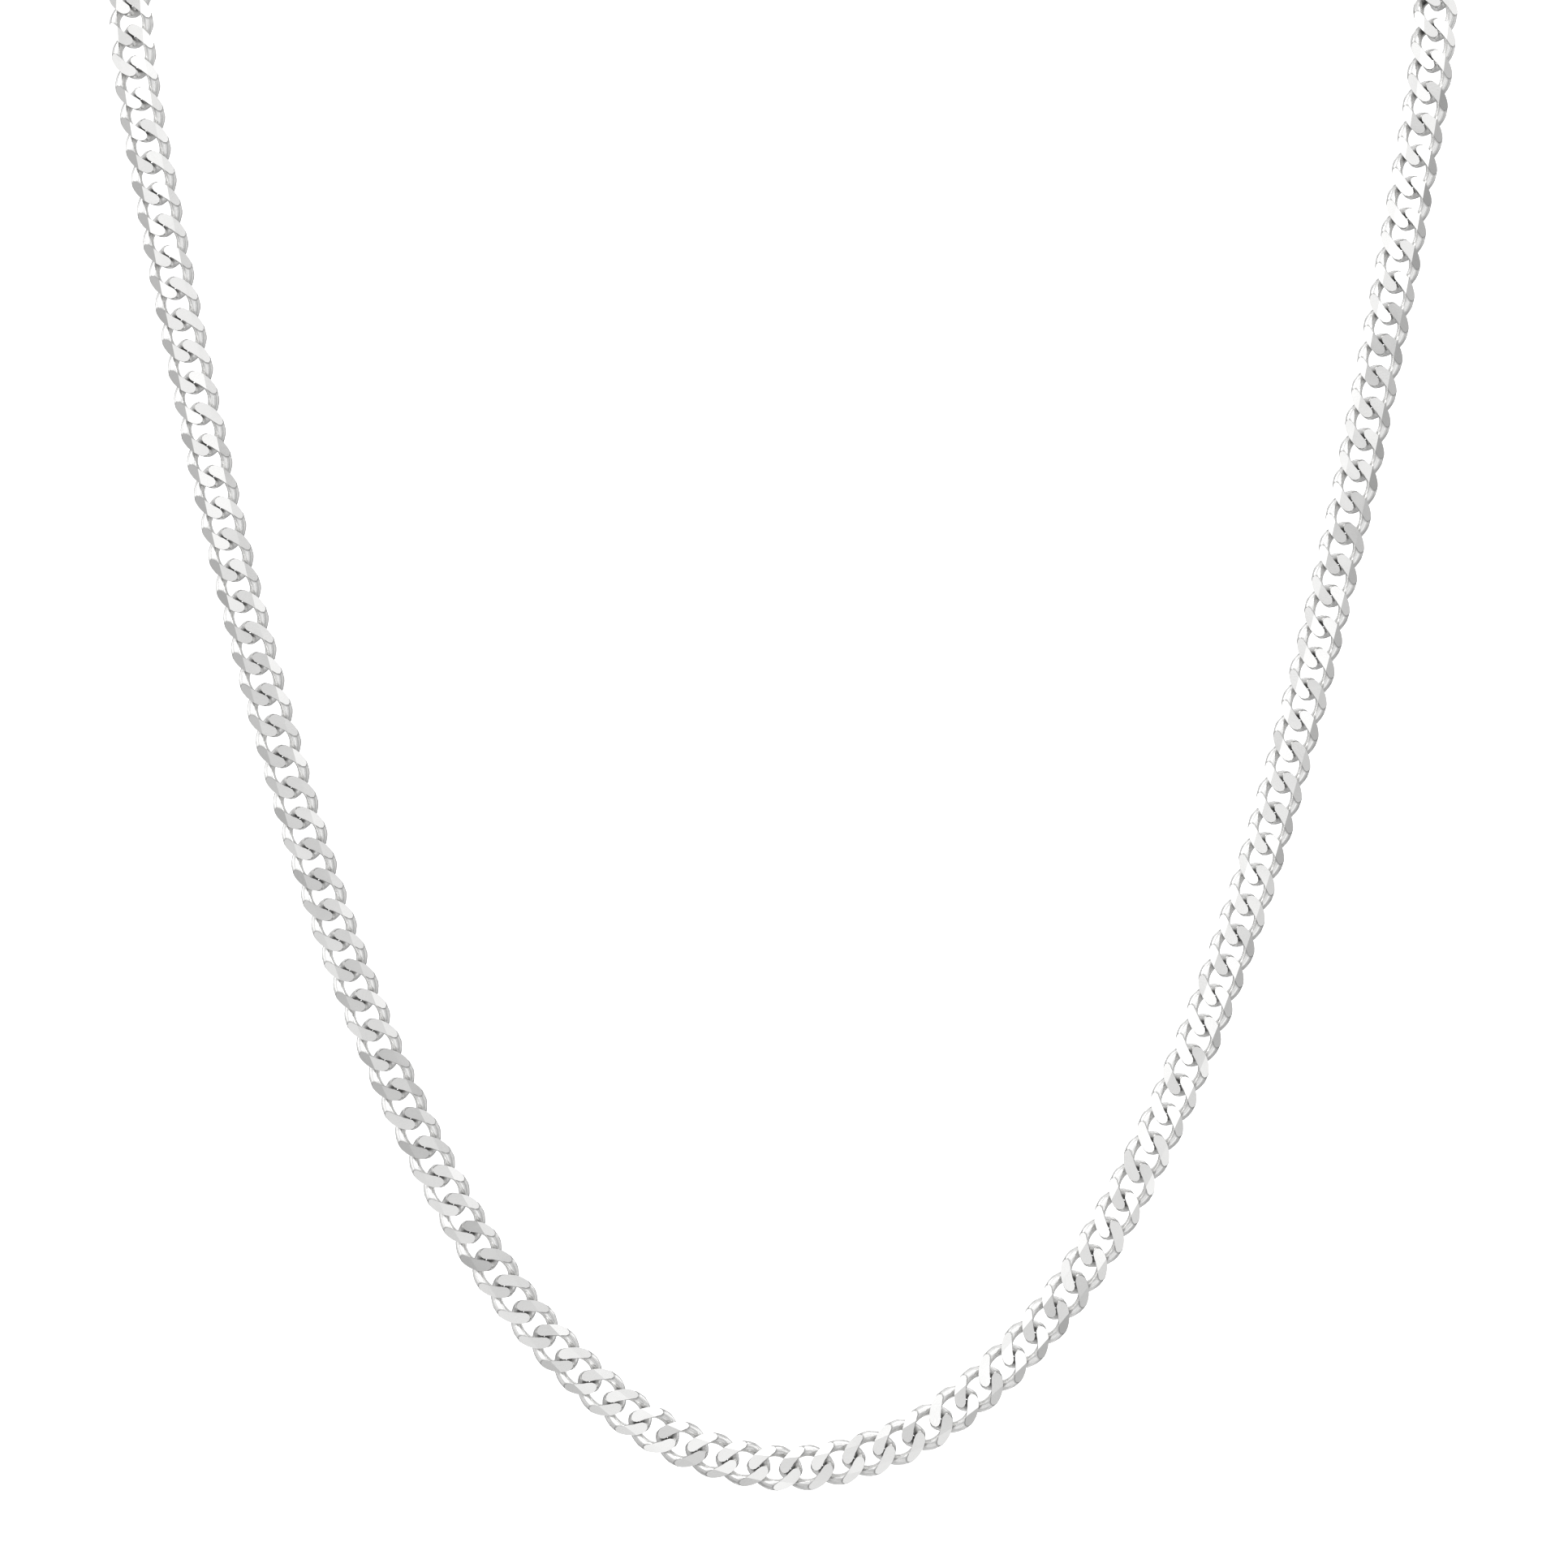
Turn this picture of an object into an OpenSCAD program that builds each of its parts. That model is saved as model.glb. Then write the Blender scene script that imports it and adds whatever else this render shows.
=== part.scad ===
// Curb chain necklace: bevelled curb links on a closed loop, with a plain
// clasp and two jump rings at the nape. Millimetres, +Z up, front towards -Y.
// The origin is where the inner face of the clasp rests on the nape.

/* [Necklace] */
// Length of the whole loop along its middle line
necklace_len = 508; // [400:1:700]
// Lean of the front of the loop, from upright back towards the nape
front_tilt = 30; // [0:1:45]

/* [Chain] */
// Width of the chain, face on
chain_w = 4.4; // [4.2:0.05:4.7]
// Thickness between the two flat cuts
chain_t = 1.24; // [1.16:0.02:1.5]
// Width of the flat cut between the two bevels
flat_w = 2.44; // [2.2:0.02:2.8]
// Thickness left at the outer edge, where two bevels meet
edge_t = 0.6; // [0.4:0.02:0.7]
// Diameter of the wire that the links are bent from
wire_d = 1.06; // [1:0.01:1.1]
// Open stretch of a link's eye between the two links that hang in it
eye_gap = 1.24; // [1.2:0.02:1.6]
// Play between two links that hang on each other
link_play = 0.17; // [0.13:0.01:0.2]
// Turn of each end of a link out of the chain's face
link_twist = 48; // [46:1:52]
// Stock that the bevels take off each side of a link
bevel_stock = 0.04; // [0:0.01:0.08]

/* [Clasp and rings] */
// Wire of the two jump rings
ring_wire = 0.8; // [0.6:0.05:0.9]
// Turn of a jump ring about the chain, between a link's end and the clasp
ring_turn = 18; // [12:1:22]
// Thickness of the clasp
clasp_t = 1.4; // [1.2:0.1:1.6]
// Distance between the clasp's eye and its hook opening
clasp_span = 7.4; // [6.5:0.1:10]
// Bore of the clasp's eye
eye_bore = 2.6; // [2.4:0.1:3]
// Metal around the eye
eye_rim = 0.8; // [0.6:0.1:1.2]
// Bore of the hook opening
hook_bore = 3; // [2.6:0.1:3.4]
// Metal around the hook opening
hook_rim = 1.2; // [0.9:0.05:1.6]
// Width of the clasp's waist
waist_w = 2.4; // [1.8:0.1:3]
// Gap between a jump ring and the metal that it pulls on
ring_play = 0.25; // [0.2:0.01:0.4]
// Gap inside a jump ring between the clasp's rim and the last link
rim_play = 0.3; // [0.2:0.01:0.5]

/* [Hidden] */

// Half of the loop's middle line, from the lowest point at the front to the
// middle of the nape: sideways, up along the front, and back from the front.
route = [
    [0, 0, 0],
    [9.5, 2, 0],
    [16.5, 6, 0],
    [24, 13, 0],
    [30, 21, 0],
    [36, 32, 0],
    [41, 43.5, 0],
    [46, 57.5, 0],
    [51, 75, 0],
    [55.5, 93.5, 0],
    [59, 110.5, 0],
    [62, 126.5, 0],
    [64, 139, 0],
    [64.5, 148.5, 1.5],
    [62.5, 158.5, 4],
    [55.5, 168.5, 8],
    [43.5, 175.5, 12.5],
    [29.5, 179.5, 16.5],
    [15, 180.5, 19],
    [0, 180.5, 20],
];
route_last = len(route) - 1;

// Share of each half that faces the front, before it turns towards the nape
front_share = 0.6;

// A link is ten straight stretches of a five-sided wire, with a corner of each
// section towards the eye.
link_sides = 10;
wire_sides = 5;

link_len = 4 * wire_d + eye_gap;
half_link = (link_len - wire_d) / 2;
side_twist = link_twist * sin(180 / link_sides);
side_reach = (chain_w - wire_d * cos(180 / wire_sides)) / 2 + bevel_stock;
bar_y = side_reach / cos(side_twist);
pitch = link_len - 2 * wire_d - link_play;

// Route: a smooth curve through the points, mirrored at both ends
function mirrored(p) = [-p.x, p.y, p.z];
function knot(i) = i < 0 ? mirrored(route[-i])
    : i > route_last ? mirrored(route[2 * route_last - i]) : route[i];
function span(i) = norm(knot(i + 1) - knot(i));
function heading(i) = (knot(i + 1) - knot(i - 1)) / (span(i - 1) + span(i));
function on_span(i, t) =
    (2 * t ^ 3 - 3 * t ^ 2 + 1) * knot(i) + (t ^ 3 - 2 * t ^ 2 + t) * span(i) * heading(i)
    + (3 * t ^ 2 - 2 * t ^ 3) * knot(i + 1) + (t ^ 3 - t ^ 2) * span(i) * heading(i + 1);

span_steps = 12;
drawn = [
    for (i = [0:route_last - 1]) for (k = [0:span_steps - 1]) on_span(i, k / span_steps),
    knot(route_last)
];
function run(i) = i == 0 ? 0 : norm(drawn[i] - drawn[i - 1]);
runs = [for (i = 0, s = 0; i < len(drawn); i = i + 1, s = s + (i < len(drawn) ? run(i) : 0)) s];
drawn_len = runs[len(runs) - 1];
route_scale = necklace_len / 2 / drawn_len;
half_loop = necklace_len / 2;

along_x = [for (i = [0:len(drawn) - 1]) [runs[i] * route_scale, drawn[i].x * route_scale]];
along_up = [for (i = [0:len(drawn) - 1]) [runs[i] * route_scale, drawn[i].y * route_scale]];
along_back = [for (i = [0:len(drawn) - 1]) [runs[i] * route_scale, drawn[i].z * route_scale]];

// Place on the leaning loop at a distance s from the lowest point, negative on
// the left and past half_loop on the other side of the nape
function leaning(s) = s < 0 ? mirrored(leaning(-s))
    : s > half_loop ? mirrored(leaning(2 * half_loop - s))
    : [lookup(s, along_x), lookup(s, along_up), lookup(s, along_back)];
function upright(p) = [
    p.x,
    p.y * sin(front_tilt) + p.z * cos(front_tilt),
    p.y * cos(front_tilt) - p.z * sin(front_tilt)
];
function unit(v) = v / norm(v);

// Outward side of the chain's face: to the front up to front_share, then round
// the side of the neck, and to the back at the nape
function facing(s) =
    let (q = max(0, min(1, (abs(s) / half_loop - front_share) / (1 - front_share))),
         a = 180 * q * q * (3 - 2 * q))
    [sign(s) * cos(front_tilt) * sin(a), -cos(front_tilt) * cos(a), sin(front_tilt)];
nape = upright(leaning(half_loop)) - facing(half_loop) * clasp_t / 2;
function place(s) = upright(leaning(s)) - nape;

// Puts a piece on the loop: X along the chain, Z out of its face
module on_loop(s) {
    reach = 0.5;
    x = unit(place(s + reach) - place(s - reach));
    z = unit(facing(s) - (facing(s) * x) * x);
    y = cross(z, x);
    p = place(s);
    multmatrix([[x.x, y.x, z.x, p.x], [x.y, y.y, z.y, p.y], [x.z, y.z, z.z, p.z], [0, 0, 0, 1]])
        children();
}

// A jump ring holds the clasp's rim and the wire of the last link side by side,
// and its bore clears the rim's corners as well as the wire. ring_hold is from
// the ring's middle to the edge of the hole that it hangs in, and ring_room from
// there to the outside of the last link.
held_span = max(eye_rim, hook_rim) + rim_play + wire_d;
rim_corner = clasp_t / 2 / cos(ring_turn);
ring_room = (held_span ^ 2 + rim_corner ^ 2) / (2 * held_span);
ring_hold = held_span - ring_room;
ring_bore = 2 * (ring_room + ring_play);

// Distances along the loop from the middle of the nape
clasp_reach = (clasp_span + (eye_bore + hook_bore) / 2) / 2;
ring_at = clasp_reach + ring_hold;
chain_end = ring_at + ring_room - wire_d / 2 + half_link;

// Links on each side, spread evenly over what the clasp leaves
side_links = ceil((half_loop - chain_end) / pitch + 0.5);
link_step = (half_loop - chain_end) / (side_links - 0.5);

// Middle line of one link's wire: an oval, turned more and more towards its ends
function roll(x) = -link_twist * x / half_link;
function oval(a) =
    let (x = half_link * cos(a), y = bar_y * sin(a) / cos(180 / link_sides))
    [x, y * cos(roll(x)), y * sin(roll(x))];

// Ring of wire corners round the middle line at angle a
function section(a) =
    let (step = 180 / link_sides,
         c = oval(a),
         t = unit(oval(a + step) - oval(a - step)),
         u = unit(cross(t, [0, -sin(roll(c.x)), cos(roll(c.x))])),
         v = cross(u, t))
    [for (k = [0:wire_sides - 1])
        let (b = 360 * (k + 0.5) / wire_sides)
        c + wire_d / 2 * (cos(b) * u + sin(b) * v)];

// The cut faces: a point outside the six-sided outline is brought back to it
function half_thick(y) =
    let (rise = min(1, (chain_w - 2 * abs(y)) / (chain_w - flat_w)))
    (edge_t + (chain_t - edge_t) * rise) / 2;
function cut(p) =
    let (y = max(-chain_w / 2, min(chain_w / 2, p.y)), h = half_thick(y))
    [p.x, y, max(-h, min(h, p.z))];

module link() {
    corners = [for (i = [0:link_sides - 1]) for (p = section(360 * i / link_sides)) cut(p)];
    faces = [
        for (i = [0:link_sides - 1]) for (k = [0:wire_sides - 1])
            let (j = (i + 1) % link_sides, m = (k + 1) % wire_sides)
            for (f = [
                [i * wire_sides + k, j * wire_sides + m, j * wire_sides + k],
                [i * wire_sides + k, i * wire_sides + m, j * wire_sides + m]
            ]) f
    ];
    polyhedron(corners, faces);
}

module chain(side) {
    for (i = [0:side_links - 1]) on_loop(side * (i + 0.5) * link_step) link();
}

module chain_left() {
    color("silver") chain(-1);
}

module chain_right() {
    color("silver") chain(1);
}

// Jump ring between the last link of one side and the clasp
module jump_ring(side) {
    color("gainsboro") on_loop(side * (half_loop - ring_at))
        rotate([90 - side * ring_turn, 0, 0])
            rotate_extrude($fn = 72) translate([(ring_bore + ring_wire) / 2, 0])
                circle(d = ring_wire, $fn = 32);
}

module ring_left() {
    jump_ring(-1);
}

module ring_right() {
    jump_ring(1);
}

// Plain closed clasp: an eye, a waist and a hook opening in one flat piece
module clasp() {
    eye_x = -clasp_reach + eye_bore / 2;
    hook_x = clasp_reach - hook_bore / 2;
    color("lightgray") on_loop(half_loop) linear_extrude(clasp_t, center = true)
        difference() {
            union() {
                translate([eye_x, 0]) circle(d = eye_bore + 2 * eye_rim, $fn = 72);
                translate([hook_x, 0]) circle(d = hook_bore + 2 * hook_rim, $fn = 72);
                translate([eye_x, -waist_w / 2]) square([clasp_span, waist_w]);
            }
            translate([eye_x, 0]) circle(d = eye_bore, $fn = 72);
            translate([hook_x, 0]) circle(d = hook_bore, $fn = 72);
        }
}

chain_left();
chain_right();
ring_left();
ring_right();
clasp();
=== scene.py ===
"""Curb chain necklace in polished silver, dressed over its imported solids.

Every curb link of the solids is replaced by a smooth one with diamond-cut facets,
the two jump rings are spun anew with their cut ends, and the clasp gets soft edges.
"""

import math
import random

import bmesh
import bpy
import numpy as np
from mathutils import Matrix, Vector


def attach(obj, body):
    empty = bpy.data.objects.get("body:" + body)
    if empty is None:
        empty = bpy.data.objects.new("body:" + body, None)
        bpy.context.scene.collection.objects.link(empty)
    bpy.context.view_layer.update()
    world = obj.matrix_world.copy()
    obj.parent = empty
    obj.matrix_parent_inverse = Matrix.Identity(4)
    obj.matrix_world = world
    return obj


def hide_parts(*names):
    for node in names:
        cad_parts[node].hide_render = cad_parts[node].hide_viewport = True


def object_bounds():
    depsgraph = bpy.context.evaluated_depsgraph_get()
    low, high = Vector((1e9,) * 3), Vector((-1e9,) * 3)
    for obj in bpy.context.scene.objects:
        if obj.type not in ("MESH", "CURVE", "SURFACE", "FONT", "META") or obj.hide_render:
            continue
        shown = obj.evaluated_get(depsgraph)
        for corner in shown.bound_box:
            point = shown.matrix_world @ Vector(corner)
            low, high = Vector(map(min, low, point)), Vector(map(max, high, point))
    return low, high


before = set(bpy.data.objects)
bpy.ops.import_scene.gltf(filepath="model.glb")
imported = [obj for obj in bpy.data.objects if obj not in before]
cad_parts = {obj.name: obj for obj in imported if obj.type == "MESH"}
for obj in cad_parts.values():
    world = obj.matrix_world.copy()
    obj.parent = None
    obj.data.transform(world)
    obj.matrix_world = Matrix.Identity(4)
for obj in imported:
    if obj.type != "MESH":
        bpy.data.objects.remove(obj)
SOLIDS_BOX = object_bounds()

bl_info = {
    "name": "Curb Chain Necklace",
    "version": (1, 0, 0),
    "blender": (4, 5, 0),
    "location": "View3D > Sidebar > Necklace",
    "description": "Builds the curb links, jump rings, clasp and studio of a silver necklace",
    "category": "Object",
}

MM = 0.001

# Corners that lie nearer to each other than this, in millimetres, are merged
MERGE = 0.001

# Seeds that the leans of the links are drawn from, for each half of the chain
SEEDS = {"left": 11, "right": 26}


# Sizes and colours


class LinkSizes(bpy.types.PropertyGroup):
    """Sizes of one curb link, which follow those of the solids."""

    width: bpy.props.FloatProperty(
        name="Width",
        description="Width of the chain, face on",
        default=4.4 * MM,
        unit="LENGTH",
    )
    thickness: bpy.props.FloatProperty(
        name="Thickness",
        description="Between the two flat cuts",
        default=1.24 * MM,
        unit="LENGTH",
    )
    flat: bpy.props.FloatProperty(
        name="Flat",
        description="Width of the flat cut between the bevels",
        default=2.44 * MM,
        unit="LENGTH",
    )
    edge: bpy.props.FloatProperty(
        name="Edge",
        description="Thickness left where two bevels meet",
        default=0.6 * MM,
        unit="LENGTH",
    )
    wire: bpy.props.FloatProperty(
        name="Wire",
        description="Diameter of the wire before it is cut",
        default=1.12 * MM,
        unit="LENGTH",
    )
    bar: bpy.props.FloatProperty(
        name="Bar",
        description="Share of the wire's thickness left at the long sides",
        default=0.7,
        subtype="FACTOR",
    )
    length: bpy.props.FloatProperty(
        name="Length",
        description="Length of a link over its ends",
        default=5.54 * MM,
        unit="LENGTH",
    )
    stock: bpy.props.FloatProperty(
        name="Stock",
        description="What the bevels take off each side",
        default=0.04 * MM,
        unit="LENGTH",
    )
    twist: bpy.props.FloatProperty(
        name="Twist",
        description="Turn of each end out of the chain's face",
        default=math.radians(60),
        subtype="ANGLE",
    )
    ease: bpy.props.FloatProperty(
        name="Ease",
        description="Share of the twist that is even along the link",
        default=0.5,
        subtype="FACTOR",
    )
    lean: bpy.props.FloatProperty(
        name="Lean",
        description="How far a link may lean out of its place",
        default=math.radians(2.0),
        subtype="ANGLE",
    )
    # Strength of the shade painted on the wire as a dark line along the cuts' rims
    rim: bpy.props.FloatProperty(
        name="Rim",
        description="Shade of the wire along the cuts",
        default=0.8,
        subtype="FACTOR",
    )
    stretches: bpy.props.IntProperty(
        name="Stretches",
        description="Stretches of wire round one link",
        default=36,
    )
    sides: bpy.props.IntProperty(
        name="Sides",
        description="Sides of the wire's section",
        default=12,
    )


class FindingSizes(bpy.types.PropertyGroup):
    """Sizes of the jump rings and the clasp that their solids don't give."""

    ring_cut: bpy.props.FloatProperty(
        name="Ring cut",
        description="Gap between the two ends of a jump ring, as an angle",
        default=math.radians(3),
        subtype="ANGLE",
    )
    ring_stretches: bpy.props.IntProperty(
        name="Ring stretches",
        description="Stretches of wire round a jump ring",
        default=72,
    )
    ring_sides: bpy.props.IntProperty(
        name="Ring sides",
        description="Sides of a jump ring's wire",
        default=20,
    )
    soft_edge: bpy.props.FloatProperty(
        name="Soft edge",
        description="Width that is rounded off at the clasp's rims",
        default=0.28 * MM,
        unit="LENGTH",
    )
    edge_steps: bpy.props.IntProperty(
        name="Edge steps",
        description="Faces across a rounded rim of the clasp",
        default=4,
    )


class SilverColours(bpy.types.PropertyGroup):
    """Colours and polish of the silver."""

    silver: bpy.props.FloatVectorProperty(
        name="Silver",
        description="Polished metal of the cuts",
        subtype="COLOR",
        size=4,
        default=(0.86, 0.858, 0.85, 1),
    )
    wire: bpy.props.FloatVectorProperty(
        name="Wire",
        description="Tumbled metal of the uncut wire",
        subtype="COLOR",
        size=4,
        default=(0.94, 0.938, 0.93, 1),
    )
    # Colour of the painted shade: a contact shadow where two links meet, and a painted dark line along
    # the cuts' rims
    crevice: bpy.props.FloatVectorProperty(
        name="Crevice",
        description="Metal where two links meet",
        subtype="COLOR",
        size=4,
        default=(0.16, 0.16, 0.155, 1),
    )
    polish: bpy.props.FloatProperty(
        name="Polish",
        description="Roughness of the cut faces",
        default=0.09,
        subtype="FACTOR",
    )


class StudioSizes(bpy.types.PropertyGroup):
    """The camera's frame, the floor and the lamps."""

    frame_width: bpy.props.FloatProperty(
        name="Frame width",
        description="What the picture shows at the chain",
        default=154.56 * MM,
        unit="LENGTH",
    )
    frame_height: bpy.props.FloatProperty(
        name="Frame height",
        description="Picture's middle over the lowest link",
        default=67.4 * MM,
        unit="LENGTH",
    )
    frame_side: bpy.props.FloatProperty(
        name="Frame side",
        description="Picture's middle beside the lowest link",
        default=-0.3 * MM,
        unit="LENGTH",
    )
    lens: bpy.props.FloatProperty(
        name="Lens",
        description="Focal length in millimetres",
        default=100,
        unit="CAMERA",
    )
    tilt: bpy.props.FloatProperty(
        name="Tilt",
        description="Camera's height over the horizon",
        default=math.radians(30),
        subtype="ANGLE",
    )
    roll: bpy.props.FloatProperty(
        name="Roll",
        description="Camera's turn about its view",
        default=math.radians(-0.3),
        subtype="ANGLE",
    )
    floor_drop: bpy.props.FloatProperty(
        name="Floor drop",
        description="Floor under the lowest link",
        default=200 * MM,
        unit="LENGTH",
    )
    floor_reach: bpy.props.FloatProperty(
        name="Floor reach",
        description="How far the floor reaches to each side",
        default=6,
        unit="LENGTH",
    )
    floor_colour: bpy.props.FloatVectorProperty(
        name="Floor colour",
        description="Pale matt colour of the floor",
        subtype="COLOR",
        size=4,
        default=(0.9, 0.9, 0.9, 1),
    )
    floor_glow: bpy.props.FloatProperty(
        name="Floor glow",
        description="Light that the floor gives off, which keeps it white",
        default=0.6,
    )
    lamp_distance: bpy.props.FloatProperty(
        name="Lamp distance",
        description="From the picture's middle to each lamp",
        default=0.6,
        unit="LENGTH",
    )
    lamp_size: bpy.props.FloatProperty(
        name="Lamp size",
        description="Width and height of each lamp",
        default=0.3,
        unit="LENGTH",
    )
    lamp_power: bpy.props.FloatProperty(
        name="Lamp power",
        description="Power of each lamp",
        default=0.5,
        unit="POWER",
    )


# Shader helpers


class Value:
    """An output socket of a node. Arithmetic on it adds Math nodes."""

    def __init__(self, paint, socket):
        self.paint = paint
        self.socket = socket

    def math(self, operation, *others, clamp=False):
        return self.paint.node(
            "ShaderNodeMath",
            {"operation": operation, "use_clamp": clamp},
            dict(enumerate((self, *others))),
        )

    def __add__(self, other):
        return self.math("ADD", other)

    __radd__ = __add__

    def __mul__(self, other):
        return self.math("MULTIPLY", other)

    __rmul__ = __mul__

    def __sub__(self, other):
        return self.math("SUBTRACT", other)

    def __rsub__(self, other):
        return (self * -1) + other

    def limited(self):
        """The value, kept between 0 and 1."""
        return self.math("ADD", 0.0, clamp=True)


class Paint:
    """The node tree of a new material or world."""

    def __init__(self, owner):
        self.owner = owner
        owner.use_nodes = True
        self.tree = owner.node_tree
        self.tree.nodes.clear()

    def node(self, kind, settings=None, sockets=None, output=0):
        """Adds a node: its settings first, then the values or links of its sockets."""
        made = self.tree.nodes.new(kind)
        for key, value in (settings or {}).items():
            if key == "stops":
                self.lay_stops(made.color_ramp, value)
            else:
                setattr(made, key, value)
        for key, value in (sockets or {}).items():
            if isinstance(value, Value):
                self.tree.links.new(value.socket, made.inputs[key])
            else:
                made.inputs[key].default_value = value
        return Value(self, made.outputs[output]) if made.outputs else None

    def lay_stops(self, ramp, stops):
        """Gives a ramp its stops, each a position and a shade, on one smooth curve."""
        ramp.interpolation = "B_SPLINE"
        for _ in range(len(stops) - len(ramp.elements)):
            ramp.elements.new(0.5)
        for stop, (position, shade) in zip(ramp.elements, stops):
            stop.position = position
            stop.color = (shade, shade, shade, 1)


# Silver

# Size of the handling marks and of the fine scratches, as noise scales for metres
MARK_SCALE = 420.0
SCRATCH_SCALE = 5200.0

# Depth of the scratches
SCRATCH_DEPTH = 0.02 * MM


def silver_material(name, polish, scratch):
    """Polished silver, darkened by painted shade and rougher in the gaps between links and along the
    cuts' rims, with fine scratches and faint handling marks.
    """
    colours = bpy.context.scene.silver_colours
    paint = Paint(bpy.data.materials.new(name))
    place = paint.node("ShaderNodeTexCoord", output="Object")

    def noise(scale, detail):
        return paint.node("ShaderNodeTexNoise", {}, {"Vector": place, "Scale": scale, "Detail": detail})

    def mask(layer):
        return paint.node("ShaderNodeAttribute", {"attribute_name": layer}, output="Fac")

    def blend(factor, first, second):
        sockets = {"Factor": factor, "A": first, "B": second}
        return paint.node("ShaderNodeMix", {"data_type": "RGBA"}, sockets, output="Result")

    cloud = noise(MARK_SCALE, 3.0)
    grain = noise(SCRATCH_SCALE, 2.0)
    # Mask of the painted shade that is stored on the links' corners
    crevice = mask("crevice")
    uncut = mask("uncut")
    # The painted shade is made patchy by the clouds of the handling marks
    painted_darkness = (crevice * (0.8 + cloud * 0.4)).limited()
    unshaded = blend(uncut, tuple(colours.silver), tuple(colours.wire))
    colour = blend(painted_darkness, unshaded, tuple(colours.crevice))
    # Places with painted shade are the roughest, then the uncut wire, then the handling marks
    roughness = polish + painted_darkness * 0.25 + uncut * 0.1 + cloud * cloud * 0.06
    # The cuts keep a quarter of the scratches that the uncut wire has
    marks = (grain + cloud * 2.0) * (0.25 + uncut * 0.75)
    bump = paint.node(
        "ShaderNodeBump",
        {},
        {"Strength": scratch, "Distance": SCRATCH_DEPTH, "Height": marks},
    )
    shader = paint.node(
        "ShaderNodeBsdfPrincipled",
        {},
        {"Base Color": colour, "Metallic": 1.0, "Roughness": roughness, "Normal": bump},
    )
    paint.node("ShaderNodeOutputMaterial", {}, {"Surface": shader})
    return paint.owner


# Meshes


def mesh_piece(name, bm, material):
    """A new object of the finished mesh, at the origin."""
    mesh = bpy.data.meshes.new(name)
    bm.to_mesh(mesh)
    bm.free()
    piece = bpy.data.objects.new(name, mesh)
    bpy.context.scene.collection.objects.link(piece)
    mesh.materials.append(material)
    return piece


def merged_copy(node):
    """A mesh copy of a node's solids, with the corners of its triangles merged."""
    bm = bmesh.new()
    bm.from_mesh(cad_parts[node].data)
    bmesh.ops.remove_doubles(bm, verts=bm.verts, dist=MERGE * MM)
    return bm


def loose_parts(node):
    """Corners of each loose solid of a node, as arrays in metres."""
    bm = merged_copy(node)
    bm.verts.ensure_lookup_table()
    waiting = set(range(len(bm.verts)))
    parts = []
    while waiting:
        reached = [waiting.pop()]
        found = list(reached)
        while reached:
            corner = bm.verts[reached.pop()]
            for edge in corner.link_edges:
                other = edge.other_vert(corner).index
                if other in waiting:
                    waiting.discard(other)
                    reached.append(other)
                    found.append(other)
        parts.append(np.array([bm.verts[i].co[:] for i in sorted(found)]))
    bm.free()
    return parts


def axes_of(corners):
    """Middle of a solid, and its axes from the longest to the shortest, as a matrix."""
    middle = corners.mean(axis=0)
    _, axes = np.linalg.eigh(np.cov((corners - middle).T))
    x = Vector(axes[:, 2])
    y = Vector(axes[:, 1])
    turn = Matrix((x, y, x.cross(y))).transposed().to_4x4()
    return Matrix.Translation(Vector(middle)) @ turn


def link_places(node):
    """Where each link of a chain half lies, from the lowest one to the clasp."""
    places = [axes_of(corners) for corners in loose_parts(node)]
    here = min(places, key=lambda place: place.translation.z)
    ordered = []
    while places:
        places.remove(here)
        ordered.append(here)
        if places:
            here = min(places, key=lambda place: (place.translation - here.translation).length)
    return ordered


def spin_wire(radius, sides, ring_radius, stretches, gap=0.0):
    """A wire spun round the origin: closed, or with a gap between two flat ends."""
    bm = bmesh.new()
    bmesh.ops.create_circle(bm, cap_ends=gap > 0, radius=radius, segments=sides)
    stand = Matrix.Translation((ring_radius, 0, 0)) @ Matrix.Rotation(math.pi / 2, 4, "X")
    bmesh.ops.transform(bm, matrix=stand, verts=bm.verts)
    bmesh.ops.spin(
        bm,
        geom=bm.verts[:] + bm.edges[:] + bm.faces[:],
        axis=(0, 0, 1),
        cent=(0, 0, 0),
        angle=2 * math.pi - gap,
        steps=stretches,
        use_merge=gap == 0,
    )
    return bm


# Curb links, in millimetres, with X along the chain and Z out of its face

# Two links look as if they touched up to this gap, and the painted shade, a contact
# shadow, in the gap between them fades over this reach
TOUCH_GAP = 0.14
SHADE_REACH = 0.3

# Points that a neighbour's middle line is measured at
LINE_POINTS = 72

# A corner this near to a cutting plane counts as on it. A face belongs to a cut if
# it faces the cut's way by this cosine and lies this near to its plane.
CUT_SNAP = 0.00001
CUT_FACING = 0.999
CUT_OFFSET = 0.001


class Oval:
    """Middle line of a link's wire: an oval that turns out of its plane towards its ends.

    One share of the turn grows evenly with the distance from the link's middle, and
    the rest with its cube.
    """

    def __init__(self, sizes):
        self.half_length = (sizes.length - sizes.wire) / 2 / MM
        self.half_width = ((sizes.width - sizes.wire) / 2 + sizes.stock) / MM
        self.twist = sizes.twist
        self.ease = sizes.ease

    def turn(self, x):
        share = x / self.half_length
        return -self.twist * (self.ease * share + (1 - self.ease) * share**3)

    def point(self, angle):
        x = self.half_length * math.cos(angle)
        y = self.half_width * math.sin(angle)
        return Vector((x, y * math.cos(self.turn(x)), y * math.sin(self.turn(x))))

    def section(self, angle):
        """Middle of the wire at an angle, and its directions away from the eye and up."""
        step = 0.01
        middle = self.point(angle)
        along = (self.point(angle + step) - self.point(angle - step)).normalized()
        turn = self.turn(middle.x)
        out = along.cross(Vector((0, -math.sin(turn), math.cos(turn)))).normalized()
        return middle, out, out.cross(along)


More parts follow.
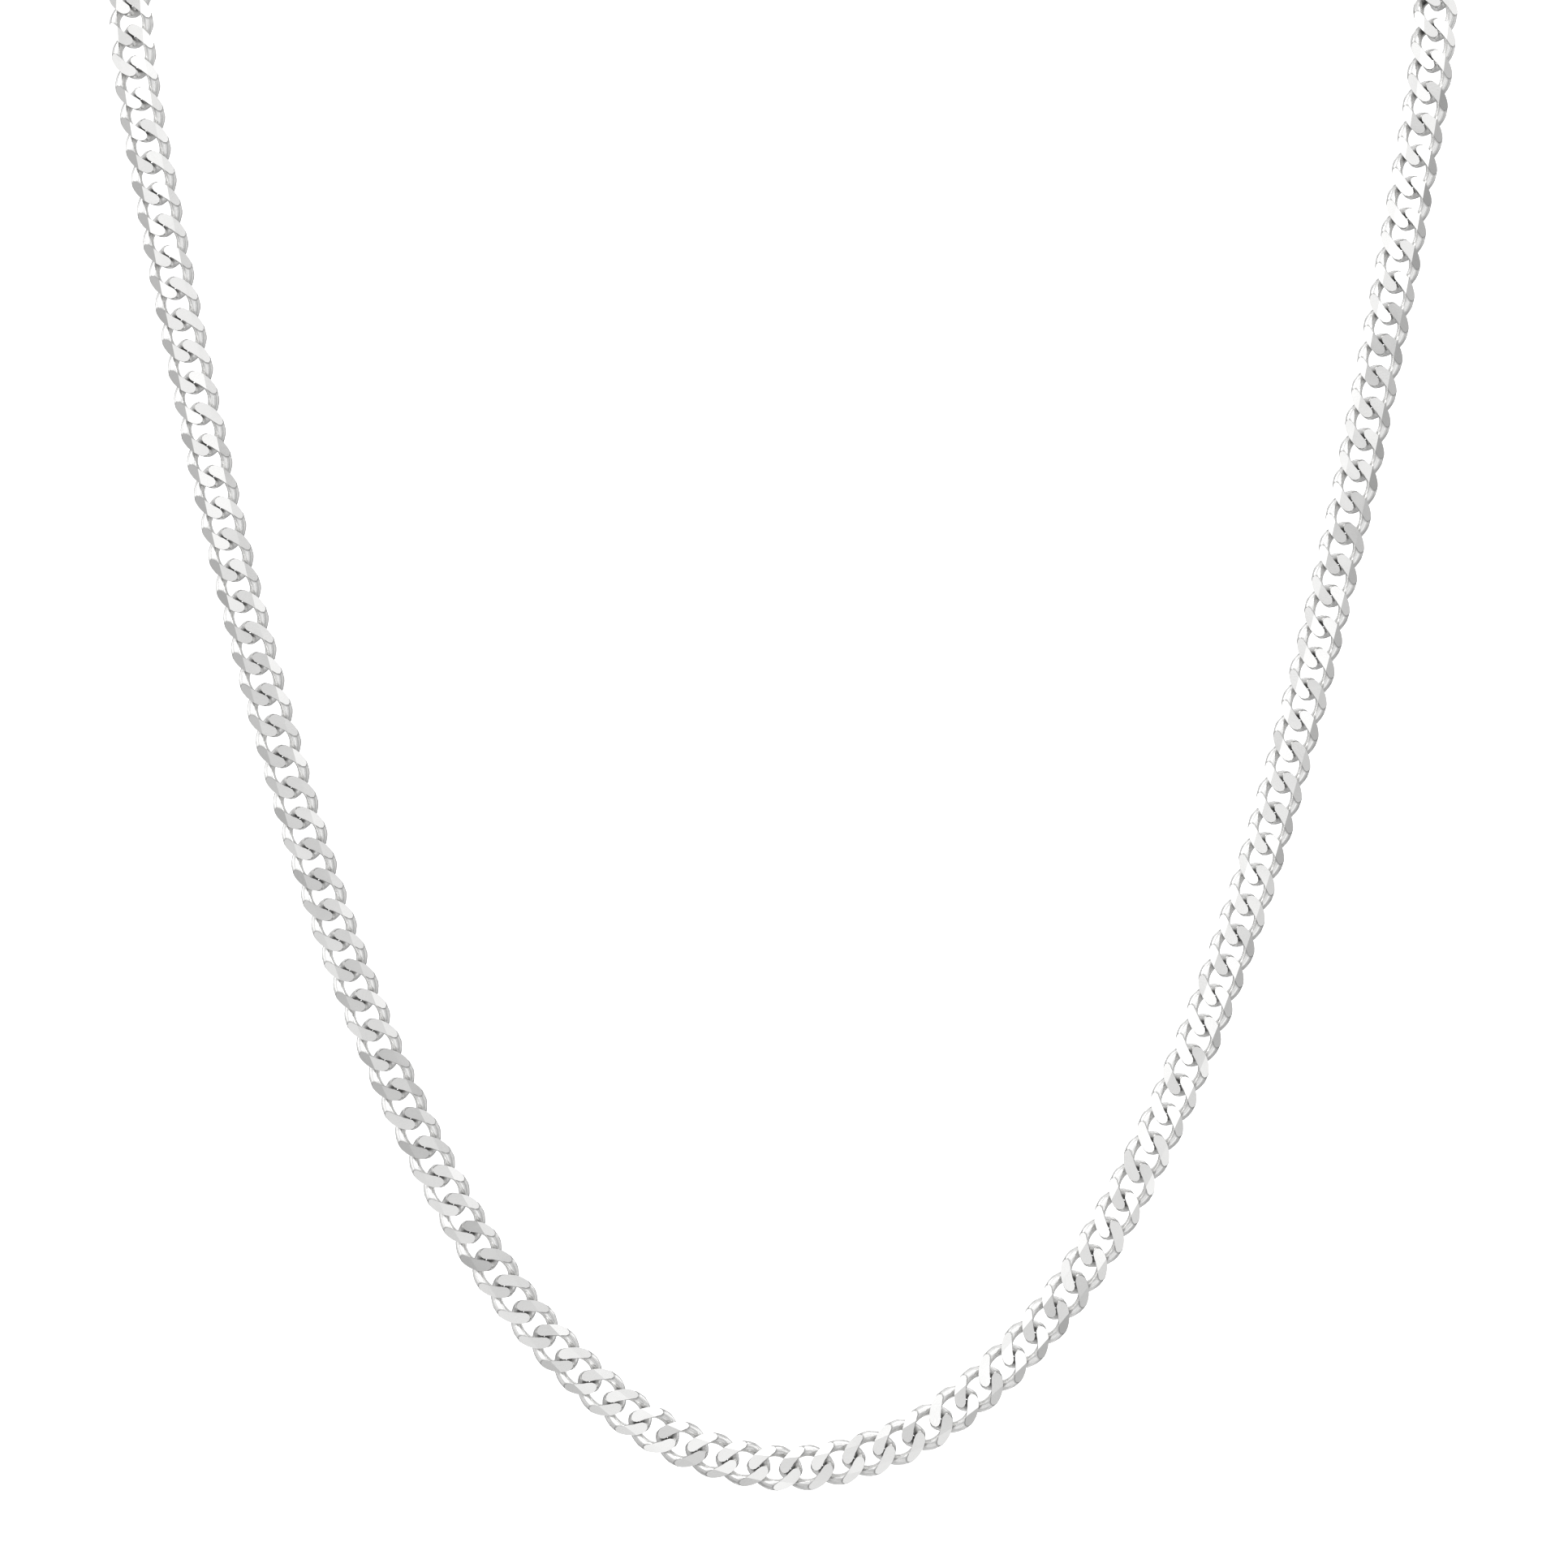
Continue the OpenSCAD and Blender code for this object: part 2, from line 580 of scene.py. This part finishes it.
def cut_planes(sizes):
    """Point and outward direction of each flat, side and bevel that a link is cut to."""
    width = sizes.width / 2 / MM
    flat = sizes.flat / 2 / MM
    thick = sizes.thickness / 2 / MM
    edge = sizes.edge / 2 / MM
    planes = []
    for up in (1, -1):
        planes.append((Vector((0, 0, up * thick)), Vector((0, 0, up))))
    for side in (1, -1):
        planes.append((Vector((0, side * width, 0)), Vector((0, side, 0))))
        for up in (1, -1):
            slope = Vector((0, side * (thick - edge), up * (width - flat)))
            planes.append((Vector((0, side * flat, up * thick)), slope.normalized()))
    return planes


def bend_to_oval(bm, sizes, ring_radius):
    """Bends a round wire to the link's oval, and thins it towards the long sides."""
    oval = Oval(sizes)
    for corner in bm.verts:
        x, y, z = corner.co
        angle = math.atan2(y, x)
        middle, out, up = oval.section(angle)
        thin = 1 - (1 - sizes.bar) * math.sin(angle) ** 4
        corner.co = middle + out * (math.hypot(x, y) - ring_radius) + up * z * thin


def link_mesh(sizes):
    """One curb link: a spun wire, bent to the oval and cut by the planes."""
    ring_radius = sizes.length / 2 / MM
    bm = spin_wire(sizes.wire / 2 / MM, sizes.sides, ring_radius, sizes.stretches)
    bmesh.ops.remove_doubles(bm, verts=bm.verts, dist=MERGE)
    bend_to_oval(bm, sizes, ring_radius)
    bmesh.ops.recalc_face_normals(bm, faces=bm.faces)
    for face in bm.faces:
        face.smooth = True
    for point, direction in cut_planes(sizes):
        cut = bmesh.ops.bisect_plane(
            bm,
            geom=bm.verts[:] + bm.edges[:] + bm.faces[:],
            dist=CUT_SNAP,
            plane_co=point,
            plane_no=direction,
            clear_outer=True,
        )
        edges = [part for part in cut["geom_cut"] if isinstance(part, bmesh.types.BMEdge)]
        rim = [edge for edge in edges if edge.is_boundary]
        bmesh.ops.holes_fill(bm, edges=rim, sides=0)
    return bm


def cut_of(face, planes):
    """Number of the cut that a face lies in, or none on the uncut wire."""
    for number, (point, direction) in enumerate(planes):
        offset = abs((face.verts[0].co - point).dot(direction))
        if face.normal.dot(direction) > CUT_FACING and offset < CUT_OFFSET:
            return number
    return None


def crease_cuts(bm, cuts):
    """Keeps the rims of the cuts sharp and the rest of the wire smooth."""
    for edge in bm.edges:
        first, second = edge.link_faces
        edge.smooth = cuts[first] == cuts[second]


def shade_wire(bm, cuts, sizes, pitch):
    """Stores which corners are of the uncut wire, and how dark each is.

    A corner gets painted shade, a contact shadow, where it lies in the narrow gap beside a
    neighbour, a pitch away on either side, and a painted dark line along the rim of a cut.
    """
    oval = Oval(sizes)
    line = np.array([oval.point(2 * math.pi * i / LINE_POINTS)[:] for i in range(LINE_POINTS)])
    neighbours = np.concatenate([line + [pitch, 0, 0], line - [pitch, 0, 0]])
    rims = {corner for face, cut in cuts.items() if cut is not None for corner in face.verts}
    crevice = bm.loops.layers.float_color.new("crevice")
    uncut = bm.loops.layers.float_color.new("uncut")
    for face in bm.faces:
        wire = 1.0 if cuts[face] is None else 0.0
        for corner in face.loops:
            # Painted shade: a contact shadow near each neighbour, and a painted dark line along the cuts'
            # rims
            away = np.linalg.norm(neighbours - np.array(corner.vert.co[:]), axis=1).min()
            gap = away - sizes.wire / 2 / MM
            depth = max(0.0, 1.0 - max(gap - TOUCH_GAP, 0.0) / SHADE_REACH)
            rim = sizes.rim if corner.vert in rims else 0.0
            shade = max(depth * depth, rim) * wire
            corner[crevice] = (shade, shade, shade, 1.0)
            corner[uncut] = (wire, wire, wire, 1.0)


def finished_link(sizes, pitch):
    """The mesh of one link in metres, with its rims sharp and its shades stored."""
    bm = link_mesh(sizes)
    planes = cut_planes(sizes)
    cuts = {face: cut_of(face, planes) for face in bm.faces}
    crease_cuts(bm, cuts)
    shade_wire(bm, cuts, sizes, pitch)
    bmesh.ops.scale(bm, vec=(MM, MM, MM), verts=bm.verts)
    mesh = bpy.data.meshes.new("link")
    bm.to_mesh(mesh)
    bm.free()
    return mesh


def random_lean(draw, most):
    """A small turn about each axis, with a third as much in the plane of the chain's face."""
    x, y, z = [draw.uniform(-1, 1) * most for _ in range(3)]
    return Matrix.Rotation(x, 4, "X") @ Matrix.Rotation(y, 4, "Y") @ Matrix.Rotation(z / 3, 4, "Z")


def chain_half(name, node, seed):
    """All links of one half, each where the solid link is, joined in one mesh."""
    sizes = bpy.context.scene.link_sizes
    places = link_places(node)
    pitch = (places[1].translation - places[0].translation).length / MM
    link = finished_link(sizes, pitch)
    draw = random.Random(seed)
    bm = bmesh.new()
    for place in places:
        start = len(bm.verts)
        bm.from_mesh(link)
        bm.verts.ensure_lookup_table()
        lean = random_lean(draw, sizes.lean)
        bmesh.ops.transform(bm, matrix=place @ lean, verts=bm.verts[start:])
    bpy.data.meshes.remove(link)
    return mesh_piece(name, bm, bpy.data.materials["chain_silver"])


# Jump rings and clasp

# Faces of the clasp that meet at less than this angle are one face, and edges
# between faces at more than the second angle are its rims
FLAT_ANGLE = math.radians(1)
RIM_ANGLE = math.radians(60)


def jump_ring(name, node):
    """A round ring of the solid's own size and place, whose cut shows."""
    sizes = bpy.context.scene.finding_sizes
    corners = loose_parts(node)[0]
    place = axes_of(corners)
    away = np.linalg.norm(corners - np.array(place.translation[:]), axis=1)
    wire = (away.max() - away.min()) / 2
    middle = away.min() + wire
    bm = spin_wire(wire, sizes.ring_sides, middle, sizes.ring_stretches, sizes.ring_cut)
    bmesh.ops.recalc_face_normals(bm, faces=bm.faces)
    for face in bm.faces:
        face.smooth = len(face.verts) == 4
    bmesh.ops.transform(bm, matrix=place, verts=bm.verts)
    return mesh_piece(name, bm, bpy.data.materials["findings_silver"])


def clasp_plate(name, node):
    """The clasp's own form with its rims rounded off."""
    sizes = bpy.context.scene.finding_sizes
    bm = merged_copy(node)
    bmesh.ops.dissolve_limit(bm, angle_limit=FLAT_ANGLE, verts=bm.verts, edges=bm.edges)
    rims = [edge for edge in bm.edges if edge.calc_face_angle(0) > RIM_ANGLE]
    bmesh.ops.bevel(
        bm,
        geom=rims,
        offset=sizes.soft_edge,
        offset_type="OFFSET",
        segments=sizes.edge_steps,
        profile=0.5,
        affect="EDGES",
        material=-1,
    )
    for face in bm.faces:
        face.smooth = True
    return mesh_piece(name, bm, bpy.data.materials["findings_silver"])


# Studio

# Brightness of the surroundings' screens, from the left, -1, to the right, 1
SCREENS = (
    (-1.0, 0.95),
    (-0.88, 0.95),
    (-0.77, 0.5),
    (-0.64, 0.5),
    (-0.55, 0.9),
    (-0.46, 0.66),
    (-0.3, 0.9),
    (-0.13, 0.77),
    (0.0, 0.95),
    (0.13, 1.0),
    (0.3, 0.85),
    (0.45, 0.36),
    (0.56, 0.9),
    (0.68, 0.46),
    (0.77, 0.42),
    (0.88, 0.9),
    (1.0, 0.95),
)

# Moves the clouds of the surroundings, and sets their size
CLOUD_SHIFT = (0.3, 0.2, 0.4)
CLOUD_SCALE = 9.0

# Direction of the right-hand lamp: to the right, up the picture and to the camera
LAMP_DIRECTION = (0.55, 0.8, 0.3)


def studio_camera(target, view, sizes):
    """The camera, as far from the target as the width of its frame asks."""
    camera = bpy.data.cameras.new("camera")
    camera.lens = sizes.lens
    eye = bpy.data.objects.new("camera", camera)
    distance = sizes.frame_width * sizes.lens / camera.sensor_width
    eye.location = target + view * distance
    turn = view.to_track_quat("Z", "Y").to_matrix() @ Matrix.Rotation(sizes.roll, 3, "Z")
    eye.rotation_euler = turn.to_euler()
    bpy.context.scene.collection.objects.link(eye)
    return eye


def pale_floor(sizes):
    """A wide white floor under the necklace, which the silver doesn't mirror."""
    paint = Paint(bpy.data.materials.new("floor_white"))
    shader = paint.node(
        "ShaderNodeBsdfPrincipled",
        {},
        {
            "Base Color": tuple(sizes.floor_colour),
            "Roughness": 0.8,
            "Emission Color": (1, 1, 1, 1),
            "Emission Strength": sizes.floor_glow,
        },
    )
    paint.node("ShaderNodeOutputMaterial", {}, {"Surface": shader})
    bm = bmesh.new()
    bmesh.ops.create_grid(bm, x_segments=1, y_segments=1, size=sizes.floor_reach)
    drop = Matrix.Translation((0, 0, SOLIDS_BOX[0].z - sizes.floor_drop))
    bmesh.ops.transform(bm, matrix=drop, verts=bm.verts)
    floor = mesh_piece("floor", bm, paint.owner)
    floor.visible_glossy = False
    return floor


def studio_world(view, up):
    """Soft surroundings: tall pale screens from left to right with darker gaps between them.

    They are dimmer low down, overhead, to the sides and behind the necklace.
    """
    paint = Paint(bpy.data.worlds.new("studio"))
    ray = paint.node("ShaderNodeTexCoord", output="Generated")

    def along(direction):
        sockets = {0: ray, 1: tuple(direction)}
        return paint.node("ShaderNodeVectorMath", {"operation": "DOT_PRODUCT"}, sockets, output="Value")

    def fade(amount, start, end, before, after):
        """A smooth change of brightness as an amount goes from its start to its end."""
        return paint.node(
            "ShaderNodeMapRange",
            {"interpolation_type": "SMOOTHSTEP"},
            {"Value": amount, "From Min": start, "From Max": end, "To Min": before, "To Max": after},
        )

    side = along(Vector((1, 0, 0))) * 0.5 + 0.5
    stops = [(place * 0.5 + 0.5, shade) for place, shade in SCREENS]
    screens = paint.node("ShaderNodeValToRGB", {"stops": stops}, {"Fac": side})
    low = fade(along(up), start=0.05, end=0.2, before=0.95, after=1.6)
    overhead = fade(along(up), start=0.5, end=0.75, before=1.0, after=0.75)
    around = fade(along(view), start=0.65, end=0.3, before=1.0, after=0.74)
    behind = fade(along(view), start=-0.6, end=-0.9, before=1.0, after=0.65)
    shifted = paint.node("ShaderNodeVectorMath", {"operation": "ADD"}, {0: ray, 1: CLOUD_SHIFT})
    cloud = paint.node("ShaderNodeTexNoise", {}, {"Vector": shifted, "Scale": CLOUD_SCALE, "Detail": 1.0})
    light = screens * low * around * overhead * behind * (cloud * 2.7 - 0.08)
    background = paint.node("ShaderNodeBackground", {}, {"Strength": light})
    paint.node("ShaderNodeOutputWorld", {}, {"Surface": background})
    return paint.owner


def soft_lamp(name, target, direction, sizes):
    """A square area lamp that faces the target from a direction."""
    lamp = bpy.data.lights.new(name, "AREA")
    lamp.shape = "SQUARE"
    lamp.size = sizes.lamp_size
    lamp.energy = sizes.lamp_power
    place = bpy.data.objects.new(name, lamp)
    place.location = target + direction.normalized() * sizes.lamp_distance
    place.rotation_euler = direction.to_track_quat("Z", "Y").to_euler()
    bpy.context.scene.collection.objects.link(place)


# Operators


class NECKLACE_OT_finishes(bpy.types.Operator):
    """Mixes the silver of the chain and of the findings"""

    bl_idname = "necklace.finishes"
    bl_label = "Make Finishes"

    def execute(self, context):
        polish = context.scene.silver_colours.polish
        silver_material("chain_silver", polish, scratch=0.15)
        silver_material("findings_silver", polish + 0.05, scratch=0.25)
        return {"FINISHED"}


class NECKLACE_OT_chain(bpy.types.Operator):
    """Replaces both halves of the chain with smooth, diamond-cut curb links"""

    bl_idname = "necklace.chain"
    bl_label = "Make Chain"

    def execute(self, context):
        for side, seed in SEEDS.items():
            node = "chain_" + side
            piece = chain_half("curb_links_" + side, node, seed)
            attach(piece, "root")
            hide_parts(node)
        return {"FINISHED"}


class NECKLACE_OT_rings(bpy.types.Operator):
    """Replaces both jump rings with round ones that show their cut"""

    bl_idname = "necklace.rings"
    bl_label = "Make Jump Rings"

    def execute(self, context):
        for side in ("left", "right"):
            node = "ring_" + side
            piece = jump_ring("jump_ring_" + side, node)
            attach(piece, "root")
            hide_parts(node)
        return {"FINISHED"}


class NECKLACE_OT_clasp(bpy.types.Operator):
    """Replaces the clasp with one of the same form and soft edges"""

    bl_idname = "necklace.clasp"
    bl_label = "Make Clasp"

    def execute(self, context):
        piece = clasp_plate("clasp_plate", "clasp")
        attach(piece, "root")
        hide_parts("clasp")
        return {"FINISHED"}


class NECKLACE_OT_studio(bpy.types.Operator):
    """Sets up the camera, lays the pale floor and hangs the soft lamps"""

    bl_idname = "necklace.studio"
    bl_label = "Make Studio"

    def execute(self, context):
        scene = context.scene
        sizes = scene.studio_sizes
        view = Vector((0, -math.cos(sizes.tilt), math.sin(sizes.tilt)))
        up = Vector((0, math.sin(sizes.tilt), math.cos(sizes.tilt)))
        lowest = link_places("chain_left")[0].translation
        lowest.x = 0
        target = lowest + up * sizes.frame_height + Vector((sizes.frame_side, 0, 0))
        scene.camera = studio_camera(target, view, sizes)
        floor = pale_floor(sizes)
        scene.world = studio_world(view, up)
        across, rise, near = LAMP_DIRECTION
        for name, side in (("lamp_left", -1), ("lamp_right", 1)):
            direction = Vector((side * across, 0, 0)) + up * rise + view * near
            soft_lamp(name, target, direction, sizes)
        scene.view_settings.view_transform = "Standard"
        return {"FINISHED"}


# Panel and registration

GROUPS = {
    "link_sizes": LinkSizes,
    "finding_sizes": FindingSizes,
    "silver_colours": SilverColours,
    "studio_sizes": StudioSizes,
}
STEPS = (
    NECKLACE_OT_finishes,
    NECKLACE_OT_chain,
    NECKLACE_OT_rings,
    NECKLACE_OT_clasp,
    NECKLACE_OT_studio,
)


class NECKLACE_PT_panel(bpy.types.Panel):
    """The necklace's sizes and colours, and its steps in their order"""

    bl_idname = "NECKLACE_PT_panel"
    bl_label = "Necklace"
    bl_space_type = "VIEW_3D"
    bl_region_type = "UI"
    bl_category = "Necklace"

    def draw(self, context):
        for name, group in GROUPS.items():
            box = self.layout.box()
            for key in group.__annotations__:
                box.prop(getattr(context.scene, name), key)
        for step in STEPS:
            self.layout.operator(step.bl_idname)


def register():
    for name, group in GROUPS.items():
        bpy.utils.register_class(group)
        setattr(bpy.types.Scene, name, bpy.props.PointerProperty(type=group))
    for step in (*STEPS, NECKLACE_PT_panel):
        bpy.utils.register_class(step)


def unregister():
    for step in (NECKLACE_PT_panel, *reversed(STEPS)):
        bpy.utils.unregister_class(step)
    for name, group in GROUPS.items():
        delattr(bpy.types.Scene, name)
        bpy.utils.unregister_class(group)


def main():
    register()
    bpy.ops.necklace.finishes()
    bpy.ops.necklace.chain()
    bpy.ops.necklace.rings()
    bpy.ops.necklace.clasp()
    bpy.ops.necklace.studio()


if __name__ == "__main__":
    main()
